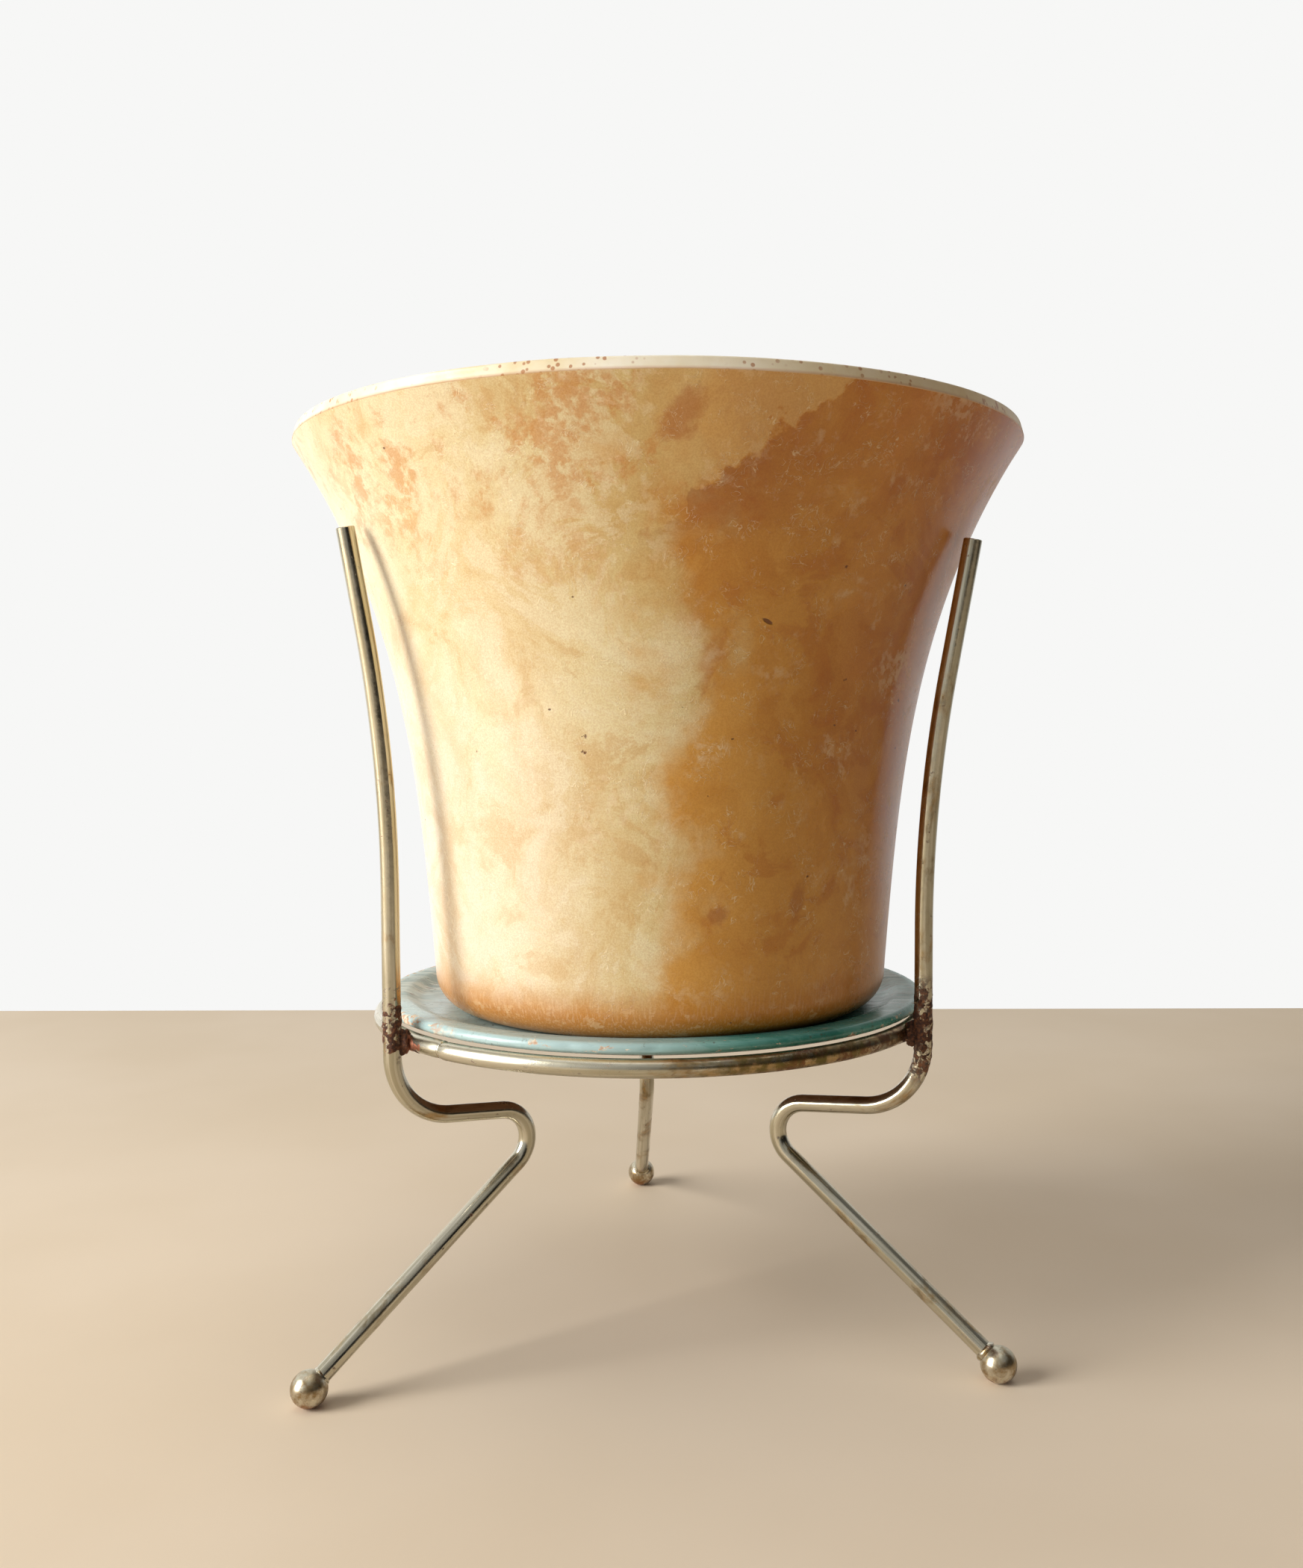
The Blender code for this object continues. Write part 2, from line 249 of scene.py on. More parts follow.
def resin_shell():
    """Aged honey-amber glass-fibre resin under a worn, semi-gloss gel coat."""
    g = Material("resin_shell", IOR=1.5)
    at = g.coords()
    x, y, z = g.split(at)
    angle = g.math("ARCTAN2", x, g.mul(y, -1.0))      # 0 at the front, positive to the right
    wobble = g.noise(at, 150, 4, 0.65)
    wander = g.noise(at, 34, 4, 0.6)

    def spot(az, height, half_w, half_h, tilt, soft=0.6, rough=1.6):
        """A mark on the wall: its place in degrees and mm, its half sizes in mm."""
        across = g.mul(g.math("SUBTRACT", angle, math.radians(az)), POT_MEAN_R / MM)
        up = g.mul(g.math("SUBTRACT", z, height * MM), 1 / MM)
        c, s = math.cos(math.radians(tilt)), math.sin(math.radians(tilt))
        u = g.add(g.mul(across, c / half_w), g.mul(up, s / half_w))
        v = g.math("SUBTRACT", g.mul(up, c / half_h), g.mul(across, s / half_h))
        return g.ease(g.add(g.length(u, v), g.swing(wobble, rough)), 1.0, 1.0 - soft)

    # broad clouds of cream, honey and amber, then smaller ones with the edges dried water leaves
    clouds = g.noise(at, 15, 7, 0.64, 0.5)
    colour = g.ramp(clouds, [(0.32, rgb(208, 170, 98)), (0.44, rgb(220, 194, 130)),
                             (0.54, rgb(229, 211, 156)), (0.66, rgb(238, 226, 184))])
    dried = g.noise(at, 34, 9, 0.68, 0.7)
    colour = g.mix(g.ease(dried, 0.515, 0.560, 0.0, 0.42), colour, rgb(241, 231, 192))
    colour = g.mix(g.ease(dried, 0.465, 0.405, 0.0, 0.46), colour, rgb(204, 156, 82))
    # painted light: palest at the lower left, the side towards the window; painted shade: honey
    # from the middle on, a little browner to the right
    painted_light_lower_left = g.mul(g.ease(x, 0.02, -0.07), g.ease(z, 0.18, 0.06, 0.35, 1.0),
                  g.ease(dried, 0.38, 0.55, 0.6, 1.0))
    colour = g.paint(colour, painted_light_lower_left, 0.75, rgb(242, 231, 212))
    # painted shade: honey, then browner, multiplied in towards +X, away from the window
    place = g.add(x, g.swing(wander, 0.10))
    colour = g.mix(g.ease(place, -0.010, 0.024, 0.0, 0.95), colour, rgb(236, 182, 94), "MULTIPLY")
    colour = g.mix(g.ease(place, 0.030, 0.100, 0.0, 0.5), colour, rgb(214, 150, 84), "MULTIPLY")
    # rubbed smudges under the lip
    smudge = g.mul(g.ease(g.noise(at, 32, 8, 0.7, 0.3), 0.49, 0.60),
                   g.ease(z, 0.120, 0.190), g.ease(g.noise(at, 230, 4, 0.65), 0.38, 0.56))
    colour = g.paint(colour, smudge, 0.62, rgb(204, 134, 58))
    # pale, chalky rubbing
    chalk = g.mul(g.ease(g.noise(at, 46, 7, 0.72, 0.4), 0.53, 0.66),
                  g.ease(g.noise(at, 280, 3, 0.6), 0.4, 0.6))
    colour = g.paint(colour, chalk, 0.36, rgb(246, 230, 196))
    # a tide line leaning up to the right: paler on its left, browner on its right
    edge = g.add(g.mul(g.math("SUBTRACT", z, TIDE_Z), TIDE_SLOPE), TIDE_ANGLE,
                 g.swing(wander, 0.5), g.swing(wobble, 0.14))
    beyond = g.math("SUBTRACT", edge, angle)
    pale = g.mul(g.ease(beyond, -0.006, 0.016), g.ease(angle, -0.04, 0.08),
                 g.ease(z, 0.166, 0.184))
    colour = g.paint(colour, pale, 0.5, rgb(230, 194, 128))
    brown = g.mul(g.ease(beyond, 0.004, -0.014), g.ease(angle, 0.62, 0.16),
                  g.ease(z, 0.150, 0.178))
    colour = g.paint(colour, brown, 0.5, rgb(158, 88, 40))
    # the few marks that tell this pot from another
    under_lip = spot(4, 193, 5, 9, -20)
    low_blots = g.most(spot(13, 43, 5, 4, 20), spot(32, 46, 5, 7, -10))
    pale_patch = g.most(spot(-36, 103, 9, 21, 12), spot(5, 128, 12, 16, 30))
    colour = g.paint(colour, under_lip, 0.55, rgb(182, 106, 46))
    colour = g.paint(colour, low_blots, 0.5, rgb(166, 92, 38))
    colour = g.paint(colour, pale_patch, 0.34, rgb(247, 229, 190))
    # glass fibres that show through as short pale curls
    curl = g.math("ABSOLUTE", g.math("SUBTRACT", g.noise(at, 210, 2, 0.5, 1.6), 0.5))
    fibres = g.mul(g.ease(curl, 0.018, 0.004), g.ease(g.noise(at, 105, 2, 0.5), 0.49, 0.60))
    colour = g.paint(colour, fibres, 0.46, rgb(250, 234, 196))
    # faint hairs above the bottom edge, and a smooth orange brown over the edge itself
    hairs = g.mul(g.ease(g.noise(g.stretch(at, (1, 1, 0.13)), 1500, 2, 0.5), 0.5, 0.62),
                  g.ease(g.add(z, g.mul(wander, 0.03)), 0.044, 0.020))
    foot = g.ease(g.add(z, g.mul(wander, 0.008)), 0.026, 0.010)
    colour = g.paint(colour, foot, 0.9, rgb(192, 122, 24))
    colour = g.paint(colour, hairs, 0.22, rgb(244, 218, 180))
    scuff = g.mul(g.ease(g.noise(g.stretch(at, (1, 1, 1.6)), 130, 5, 0.65), 0.58, 0.62),
                  g.ease(z, 0.015, 0.009))
    colour = g.paint(colour, scuff, 0.6, rgb(222, 184, 136))
    # fine grain
    grain = g.noise(at, 1900, 3, 0.65)
    colour = g.mix(g.ease(grain, 0.40, 0.60, 0.0, 0.26), colour, rgb(210, 166, 112), "MULTIPLY")
    # dark flecks of two sizes with ragged outlines
    ragged = g.swing(g.noise(at, 900, 3, 0.7), 0.14)
    flecks = []
    for scale, size, chosen in ((120, 0.075, 0.86), (48, 0.050, 0.82)):
        near, few = g.cells(g.stretch(at, (1, 1, 1.5)), scale, chosen)
        flecks.append(g.mul(g.ease(g.add(near, ragged), size, size * 0.6), few))
    chip = spot(20, 136, 2.5, 0.8, -24, 0.4, 0.6)
    pits = g.most(*flecks, chip)
    colour = g.paint(colour, pits, 0.85, rgb(96, 46, 20))
    g.out("Base Color", colour)
    worn = g.add(g.mul(chalk, 0.16), g.mul(foot, 0.04))
    g.out("Roughness", g.add(g.ease(clouds, 0.35, 0.7, 0.22, 0.33), worn))
    relief = g.bump(g.noise(at, 24, 2, 0.4), 0.0011, 0.25)
    relief = g.bump(g.noise(at, 460, 3, 0.6), 0.00012, 0.5, relief)
    marks = g.math("SUBTRACT", g.mul(fibres, 0.4), pits)
    g.out("Normal", g.bump(marks, 0.00022, 0.6, relief))
    return g.mat


def resin_lip():
    """The pale blunt lip, freckled with brown."""
    g = Material("resin_lip", IOR=1.5)
    at = g.coords()
    x, _, z = g.split(at)
    colour = g.ramp(g.noise(at, 40, 5, 0.6), [(0.36, rgb(232, 214, 172)),
                                              (0.52, rgb(243, 231, 202)),
                                              (0.68, rgb(250, 243, 224))])
    # painted shade: darker and warmer towards +X, away from the window
    colour = g.mix(g.ease(x, 0.0, 0.12, 0.0, 0.55), colour, rgb(226, 196, 140), "MULTIPLY")
    near, few = g.cells(at, 520, 0.56, channel=1)
    freckle = g.mul(g.ease(near, 0.42, 0.26), few, g.ease(g.noise(at, 30, 3, 0.6), 0.42, 0.56))
    near, few = g.cells(g.stretch(at, (1, 1, 0.6)), 170, 0.60)
    freckle = g.most(freckle, g.mul(g.ease(near, 0.20, 0.12), few))
    colour = g.paint(colour, freckle, 0.8, rgb(172, 106, 52))
    stain = g.mul(g.ease(g.noise(at, 150, 4, 0.7, 0.6), 0.60, 0.66),
                  g.ease(g.noise(at, 14, 2, 0.5), 0.5, 0.58))
    colour = g.paint(colour, stain, 0.7, rgb(150, 84, 48))
    # painted shade: a brown line along the lip's lower edge, below the band
    under = g.ease(z, 0.2056, 0.2044)
    colour = g.paint(colour, under, 0.55, rgb(186, 122, 60))
    g.out("Base Color", colour)
    g.out("Roughness", g.ease(g.noise(at, 60, 3, 0.5), 0.3, 0.7, 0.32, 0.52))
    relief = g.bump(g.noise(at, 260, 4, 0.6), 0.00025, 0.5)
    g.out("Normal", g.bump(freckle, 0.00012, -0.5, relief))
    return g.mat


def resin_inside():
    """The pot's inside: matt amber with water lines, lime and soil dust towards the bottom."""
    g = Material("resin_inside", IOR=1.48)
    at = g.coords()
    _, _, z = g.split(at)
    wander = g.noise(at, 16, 4, 0.6)
    clouds = g.noise(at, 20, 6, 0.65, 0.4)
    colour = g.ramp(clouds, [(0.32, rgb(150, 96, 48)), (0.5, rgb(186, 134, 78)),
                             (0.68, rgb(212, 172, 116))])
    level = g.add(z, g.mul(wander, 0.022))
    lines = g.noise(g.stretch(at, (0.04, 0.04, 1.0)), 120, 3, 0.6)
    lime = g.mul(g.ease(lines, 0.52, 0.62), g.ease(level, 0.02, 0.09), g.ease(level, 0.19, 0.14))
    colour = g.paint(colour, lime, 0.5, rgb(226, 210, 178))
    damp = g.ease(level, 0.150, 0.146, 0.0, 0.45)
    colour = g.mix(damp, colour, rgb(150, 100, 60), "MULTIPLY")
    soil = g.mul(g.ease(level, 0.11, 0.02), g.ease(g.noise(at, 110, 6, 0.72), 0.42, 0.58))
    colour = g.paint(colour, soil, 0.85, rgb(74, 50, 34))
    dust = g.mul(g.ease(g.noise(at, 300, 3, 0.6), 0.58, 0.66), g.ease(level, 0.16, 0.05))
    colour = g.paint(colour, dust, 0.5, rgb(52, 36, 26))
    runs = g.noise(g.stretch(at, (1, 1, 0.05)), 210, 3, 0.6)
    colour = g.mix(g.ease(runs, 0.5, 0.66, 0.0, 0.35), colour, rgb(150, 104, 64), "MULTIPLY")
    g.out("Base Color", colour)
    g.out("Roughness", g.ease(soil, 0.0, 1.0, 0.5, 0.85))
    relief = g.bump(g.noise(at, 34, 3, 0.5), 0.0012, 0.35)
    relief = g.bump(g.noise(g.stretch(at, (1, 1, 0.4)), 380, 4, 0.65), 0.0003, 0.5, relief)
    g.out("Normal", g.bump(soil, 0.0006, 0.5, relief))
    return g.mat


def painted_plate():
    """Turquoise gloss paint over cream undercoat on wood, scuffed on top, chipped at the edge."""
    g = Material("painted_plate", IOR=1.5)
    at = g.coords()
    x, y, z = g.split(at)
    radius = g.length(x, y)
    brush = g.noise(g.stretch(at, (0.12, 1, 1)), 300, 4, 0.6, 0.2)
    clouds = g.noise(at, 18, 5, 0.6, 0.4)
    teal = g.ramp(clouds, [(0.34, rgb(50, 120, 108)), (0.52, rgb(72, 146, 132)),
                           (0.68, rgb(108, 172, 160))])
    teal = g.mix(g.ease(brush, 0.42, 0.62, 0.0, 0.2), teal, rgb(150, 200, 194))
    # painted highlight: paler grey-blue over the left of the plate, for the window mirrored in the
    # gloss, with a noisy boundary
    painted_highlight_left = g.add(g.ease(x, 0.062, -0.045), g.swing(clouds, 0.6))
    teal = g.mix(g.ease(painted_highlight_left, 0.1, 0.85, 0.0, 0.9), teal, rgb(184, 209, 210))
    # the top face has faded and picked up pale wear, more of it towards the back
    top = g.mul(g.ease(radius, 0.1025, 0.0995), g.ease(z, -0.0050, -0.0030))
    faded = g.add(g.ease(y, -0.09, 0.05, 0.10, 0.75), g.swing(g.noise(at, 26, 5, 0.65), 1.5))
    faded = g.mul(top, g.ease(faded, 0.2, 0.7))
    grey = g.mix(g.ease(g.noise(g.stretch(at, (0.2, 1, 1)), 190, 4, 0.65), 0.4, 0.6),
                 rgb(142, 156, 150), rgb(206, 210, 200))
    colour = g.paint(teal, faded, 0.82, grey)
    # brown flecks where it is worn through along the grain
    flecks = g.ease(g.noise(g.stretch(at, (0.22, 1, 1)), 330, 4, 0.7, 0.3), 0.565, 0.62)
    worn = g.ease(g.noise(at, 30, 3, 0.6), 0.42, 0.6)
    thin = g.mul(top, flecks, worn, g.ease(y, -0.07, 0.02, 0.3, 1.0))
    wood = g.mix(g.noise(g.stretch(at, (0.15, 1, 1)), 420, 4, 0.6), rgb(70, 44, 28),
                 rgb(128, 88, 56))
    colour = g.paint(colour, thin, 0.9, wood)
    # a stretch of bare wood at the back of the rim
    back = g.add(y, g.mul(x, 0.35), g.mul(g.noise(at, 60, 4, 0.65), 0.030))
    bare = g.mul(g.ease(back, 0.098, 0.108), g.ease(radius, 0.085, 0.094))
    colour = g.paint(colour, bare, 0.85, wood)
    # chips along the edge, through to cream undercoat and wood, mostly on the left
    rim = g.ease(radius, 0.1000, 0.1018)
    chips = g.mul(rim, g.ease(g.noise(g.stretch(at, (1, 1, 2.2)), 150, 5, 0.68, 0.5),
                              0.615, 0.635))
    flaked = g.mul(rim, g.ease(x, -0.062, -0.078),
                   g.ease(g.noise(g.stretch(at, (1, 1, 2.0)), 150, 5, 0.7, 0.6), 0.50, 0.53))
    chips = g.most(chips, flaked)
    under = g.mix(g.ease(g.noise(at, 420, 3, 0.6), 0.42, 0.58), rgb(232, 218, 194),
                  rgb(196, 152, 118))
    colour = g.paint(colour, chips, 0.92, under)
    # painted shade in a band beneath the rounded edge, bare wood on the underside, and spots of
    # dirt
    below = g.ease(z, -0.0030, -0.0044)
    colour = g.paint(colour, below, 0.35, rgb(60, 66, 54))
    bottom = g.ease(z, -0.0040, -0.0050)
    colour = g.mix(bottom, colour, wood)
    grime = g.mul(g.ease(g.noise(at, 500, 3, 0.6), 0.60, 0.66),
                  g.ease(g.noise(at, 45, 3, 0.5), 0.45, 0.6))
    colour = g.paint(colour, grime, 0.6, rgb(84, 70, 48))
    g.out("Base Color", colour)
    dull = g.most(g.mul(faded, 0.22), g.mul(chips, 0.4), g.mul(bottom, 0.5))
    g.out("Roughness", g.add(g.ease(brush, 0.3, 0.7, 0.20, 0.32), dull))
    relief = g.bump(brush, 0.00016, 0.5)
    relief = g.bump(g.noise(at, 55, 2, 0.5), 0.0008, 0.3, relief)
    sunk = g.add(chips, g.mul(thin, 0.7))
    g.out("Normal", g.bump(sunk, 0.0003, -0.8, relief))
    return g.mat


def plated_rod(name, tarnish, rust, burnt=None, painted_shade_right=False):
    """Drawn steel rod, nickel plated, gone bronze in places, with pits and rust.

    The "rod" attribute is the place on the rod if it were straight, in metres.  burnt is
    (start, end, strength) along it, where brazing has burnt and rusted the plating.  With
    painted_shade_right, painted shade pushes the bronze towards +X, the side away from the
    window, and lays olive oxide there over the real tarnish; the other side stays silver.
    """
    g = Material(name)
    at = g.attribute("rod")
    _, _, along = g.split(at)
    drawn = g.noise(g.stretch(at, (1, 1, 0.02)), 900, 3, 0.6)
    clouds = g.noise(g.stretch(at, (1, 1, 0.45)), 90, 5, 0.65, 0.3)
    nickel = g.mix(g.ease(drawn, 0.35, 0.65), rgb(176, 170, 148), rgb(206, 201, 184))
    bronze = g.mix(g.ease(g.noise(at, 260, 4, 0.6), 0.4, 0.6), rgb(118, 94, 46),
                   rgb(164, 130, 74))
    toned = clouds
    if painted_shade_right:
        # painted shade: more bronze towards +X, away from the window
        x, _, _ = g.split(g.coords())
        toned = g.add(clouds, g.ease(x, -0.03, 0.06, -0.16, 0.16))
    tarnish_from = 0.62 - 0.34 * tarnish
    toned = g.ease(toned, tarnish_from, tarnish_from + 0.16)
    colour = g.paint(nickel, toned, 0.8, bronze)
    spots = g.noise(g.stretch(at, (1, 1, 0.8)), 420, 4, 0.68)
    patchy = g.ease(g.noise(g.stretch(at, (1, 1, 0.5)), 70, 3, 0.6), 0.40, 0.62)
    rust_from = 0.66 - 0.06 * rust
    pitted = g.mul(g.ease(spots, rust_from, rust_from + 0.04), patchy)
    near, few = g.cells(at, 150, 0.80)
    pitted = g.most(pitted, g.mul(g.ease(near, 0.14, 0.09), few))
    if burnt:
        start, end, strength = burnt
        soft = 4 * MM
        scale_from = 0.62 - 0.3 * strength
        scorched = g.mul(g.ease(along, start - soft, start + soft),
                         g.ease(along, end + soft, end - soft),
                         g.ease(g.noise(at, 330, 5, 0.72, 0.4), scale_from, scale_from + 0.08))
        pitted = g.most(pitted, scorched)
    rusty = g.ramp(g.noise(at, 800, 4, 0.65), [(0.36, rgb(38, 22, 14)), (0.5, rgb(88, 48, 26)),
                                               (0.62, rgb(140, 84, 44)),
                                               (0.74, rgb(156, 108, 68))])
    colour = g.paint(colour, pitted, 0.92, rusty)
    rough = g.add(g.ease(clouds, 0.3, 0.7, 0.13, 0.26), g.mul(pitted, 0.42))
    if painted_shade_right:
        # painted shade and oxide: olive mottling on the +X side only, away from the window
        oxide_and_painted_shade = g.mul(g.ease(x, 0.0, 0.05), g.ease(g.noise(at, 200, 5, 0.7), 0.44, 0.56))
        olive = g.mix(g.ease(g.noise(at, 90, 3, 0.6), 0.42, 0.58), rgb(98, 52, 26),
                      rgb(96, 88, 38))
        colour = g.paint(colour, oxide_and_painted_shade, 0.75, olive)
        rough = g.add(rough, g.ease(oxide_and_painted_shade, 0.0, 1.0, 0.10, 0.22))
    g.out("Base Color", colour)
    g.out("Metallic", g.ease(pitted, 0.0, 1.0, 1.0, 0.15))
    g.out("Roughness", rough)
    relief = g.bump(drawn, 0.00005, 0.35)
    relief = g.bump(g.noise(at, 240, 3, 0.5), 0.00018, 0.3, relief)
    g.out("Normal", g.bump(pitted, 0.00016, -0.6, relief))
    return g.mat


def ball_metal():
    """The ball feet: the same plating, frosted on top, and bronze below as a painted reflection of
    brown wood beneath.
    """
    g = Material("ball_metal")
    at = g.coords()
    _, _, z = g.split(at)
    clouds = g.noise(at, 190, 5, 0.65, 0.3)
    colour = g.mix(g.ease(clouds, 0.36, 0.62), rgb(206, 199, 180), rgb(150, 128, 94))
    frost = g.mul(g.ease(z, 0.0, 0.0055), g.ease(g.noise(at, 520, 4, 0.6), 0.36, 0.6))
    colour = g.paint(colour, frost, 0.5, rgb(176, 178, 160))
    # painted reflection: bronze brown over the lower half, for a brown wood table mirrored there
    low = g.mul(g.ease(z, -0.001, -0.0055), g.ease(clouds, 0.36, 0.56))
    colour = g.paint(colour, low, 0.7, rgb(150, 92, 44))
    pits = g.ease(g.noise(at, 900, 4, 0.7), 0.64, 0.69)
    colour = g.paint(colour, pits, 0.85, rgb(52, 34, 22))
    g.out("Base Color", colour)
    g.out("Metallic", g.ease(pits, 0.0, 1.0, 1.0, 0.3))
    dull = g.add(g.mul(frost, 0.12), g.mul(pits, 0.3))
    g.out("Roughness", g.add(g.ease(clouds, 0.3, 0.7, 0.24, 0.34), dull))
    relief = g.bump(g.noise(at, 330, 3, 0.5), 0.0003, 0.35)
    g.out("Normal", g.bump(pits, 0.0002, -0.6, relief))
    return g.mat


def braze_crust(name, copper, pale):
    """Braze and scale: brown-black crust with copper showing and pale flux flakes."""
    g = Material(name)
    at = g.coords()
    fine = g.noise(at, 900, 5, 0.7)
    broad = g.noise(at, 240, 5, 0.65, 0.5)
    colour = g.ramp(fine, [(0.34, rgb(30, 17, 11)), (0.5, rgb(74, 42, 25)),
                           (0.64, rgb(122, 76, 44))])
    outward, _, _ = g.split(at)
    hoop_side = g.ease(outward, LEG_R - 2.5 * MM, LEG_R - 5.5 * MM, 0.05, 1.0)
    copper_from, pale_from = 0.66 - 0.3 * copper, 0.66 - 0.14 * pale
    bare = g.mul(g.ease(broad, copper_from, copper_from + 0.08), hoop_side)
    colour = g.paint(colour, bare, 0.85, rgb(168, 106, 80))
    flakes = g.ease(g.noise(at, 380, 4, 0.7, 0.6), pale_from, pale_from + 0.04)
    colour = g.paint(colour, flakes, 0.85, rgb(214, 192, 152))
    g.out("Base Color", colour)
    g.out("Metallic", g.mul(bare, 0.8))
    g.out("Roughness", g.ease(bare, 0.0, 1.0, 0.78, 0.42))
    relief = g.bump(broad, 0.0007, 0.6)
    g.out("Normal", g.bump(fine, 0.0003, 0.7, relief))
    return g.mat


# ---------------------------------------------------------------- mesh helpers
def piece(name, bm, mats, body, replaced, at, turn=0.0, crease=35):
    """Finish a mesh as a shaded object that rides on a CAD body and stands for its CAD node."""
    bmesh.ops.recalc_face_normals(bm, faces=bm.faces)
    mesh = bpy.data.meshes.new(name)
    bm.to_mesh(mesh)
    bm.free()
    mesh.shade_smooth()
    mesh.set_sharp_from_angle(angle=math.radians(crease))
    for mat in mats:
        mesh.materials.append(mat)
    obj = bpy.data.objects.new(name, mesh)
    bpy.context.scene.collection.objects.link(obj)
    obj.location = at
    obj.rotation_euler = (0, 0, turn)
    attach(obj, body)
    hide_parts(*replaced)


def tube(bm, rings, mats=None):
    """Quads between neighbouring rings of vertices, and a face on each end ring."""
    for row, (low, high) in enumerate(zip(rings, rings[1:])):
        count = len(low)
        for i in range(count):
            j = (i + 1) % count
            face = bm.faces.new((low[i], low[j], high[j], high[i]))
            if mats:
                face.material_index = mats[row]
    first = bm.faces.new(rings[0])
    last = bm.faces.new(rings[-1])
    if mats:
        first.material_index = mats[0]
        last.material_index = mats[-1]


def turned(profile, segs, shape, mats=None):
    """Turn (radius, height) points round +Z.  shape(radius, height, angle) moves each a little."""
    bm = bmesh.new()
    rings = []
    for radius, height in profile:
        ring = []
        for i in range(segs):
            a = TAU * i / segs
            r, z = shape(radius, height, a)
            ring.append(bm.verts.new((r * math.cos(a), r * math.sin(a), z)))
        rings.append(ring)
    tube(bm, rings, mats)
    return bm


def arc(cx, cz, radius, start, end, count):
    """(r, z) points along an arc, from one angle to the other in degrees."""
    return [(cx + radius * math.cos(math.radians(start + (end - start) * i / count)),
             cz + radius * math.sin(math.radians(start + (end - start) * i / count)))
            for i in range(count + 1)]


FEWEST_IN_BEND = 6
STRAIGHT_STEP = 2.5                           # straight runs may have longer pieces than bends


def bent_path(corners, radii, step):
    """(r, z) points of a rod bent at each inner corner, evenly spaced along straight runs."""
    points = [Vector(corners[0])]
    for before, corner, after, radius in zip(corners, corners[1:], corners[2:], radii):
        corner = Vector(corner)
        back = (Vector(before) - corner).normalized()
        ahead = (Vector(after) - corner).normalized()
        half = math.acos(max(-1.0, min(1.0, back.dot(ahead)))) / 2
        centre = corner + (back + ahead).normalized() * (radius / math.sin(half))
        first = corner + back * (radius / math.tan(half)) - centre
        last = corner + ahead * (radius / math.tan(half)) - centre
        sweep = math.atan2(first.x * last.y - first.y * last.x, first.dot(last))
        count = max(FEWEST_IN_BEND, math.ceil(abs(sweep) * radius / step))
        for i in range(count + 1):
            c, s = math.cos(sweep * i / count), math.sin(sweep * i / count)
            points.append(centre + Vector((first.x * c - first.y * s,
                                           first.x * s + first.y * c)))
    points.append(Vector(corners[-1]))
    even = [points[0]]
    for a, b in zip(points, points[1:]):
        pieces = max(1, round((b - a).length / (STRAIGHT_STEP * step)))
        even += [a.lerp(b, (i + 1) / pieces) for i in range(pieces)]
    return even


def rod_space(bm):
    """The layer that holds each vertex's place on the rod if it were straight."""
    return bm.verts.layers.float_vector.new("rod")


def ring_round(bm, layer, centre, across, aside, radius, along, segs, swell=None):
    """One ring of vertices round a rod.  swell(angle) is what it stands proud there."""
    ring = []
    for k in range(segs):
        b = TAU * k / segs
        r = radius + (swell(b) if swell else 0.0)
        vert = bm.verts.new(centre + across * (r * math.cos(b)) + aside * (r * math.sin(b)))
        vert[layer] = (radius * math.cos(b), radius * math.sin(b), along)
        ring.append(vert)
    return ring


def leg_corners(leg):
    """The rod's corners as (r, z), the ball's middle, and the way up the foot's stretch."""
    lean_z = leg["top_z"] - (leg["top_r"] - LEG_R) / math.tan(LEAN)
    foot = Vector((leg["foot_r"], FLAT))
    knee = Vector((leg["knee_r"], KNEE_Z))
    up = (knee - foot).normalized()
    end = foot + up * (FACET + 0.1 * MM)
    top = (leg["top_r"], leg["top_z"])
    return [top, (LEG_R, lean_z), (LEG_R, SHOULDER_Z), tuple(knee), tuple(end)], foot, up


def leg_turn(leg):
    """The turn about +Z that brings +X out along a leg."""
    return math.radians(leg["az"] - 90)


def ball_middle(leg, foot):
    """The middle of a leg's ball in the frame's axes."""
    out = Matrix.Rotation(leg_turn(leg), 4, "Z") @ Vector((foot.x, 0, 0))
    return (AXIS.x + out.x, AXIS.y + out.y, foot.y)


# ---------------------------------------------------------------- the pot
POT_BASE_R, POT_TAPER, POT_FLARE, POT_POWER = 83.8 * MM, 0.072, 32.0 * MM, 3.4
POT_CORNER, POT_LIP_Z, POT_H = 12.6 * MM, 204.6 * MM, 208.4 * MM
POT_TOP_R, POT_WALL, POT_FLOOR = 132.2 * MM, 4.2 * MM, 5.0 * MM
FLARE_Z = 200 * MM                            # where the flare has its full measure
POT_SEGS, WALL_ROWS, INNER_ROWS = 224, 74, 46


def pot_radius(height):
    return POT_BASE_R + POT_TAPER * height + POT_FLARE * (height / FLARE_Z) ** POT_POWER


def pot_inner(height):
    steeper = POT_FLARE * POT_POWER / FLARE_Z * (height / FLARE_Z) ** (POT_POWER - 1)
    return pot_radius(height) - POT_WALL * math.hypot(1.0, POT_TAPER + steeper)


def uneven(radius, height, angle):
    """The moulding's slight unevenness, none at the base and a little in the lip's height."""
    p = Vector((math.cos(angle), math.sin(angle), height / (100 * MM))) * 1.7
    r = radius + 0.16 * MM * noise.noise(p) * min(1.0, height / (20 * MM))
    if height > FLARE_Z:
        height += 0.18 * MM * noise.noise(Vector((math.cos(angle), math.sin(angle), 9.0)) * 3.1)
    return r, height


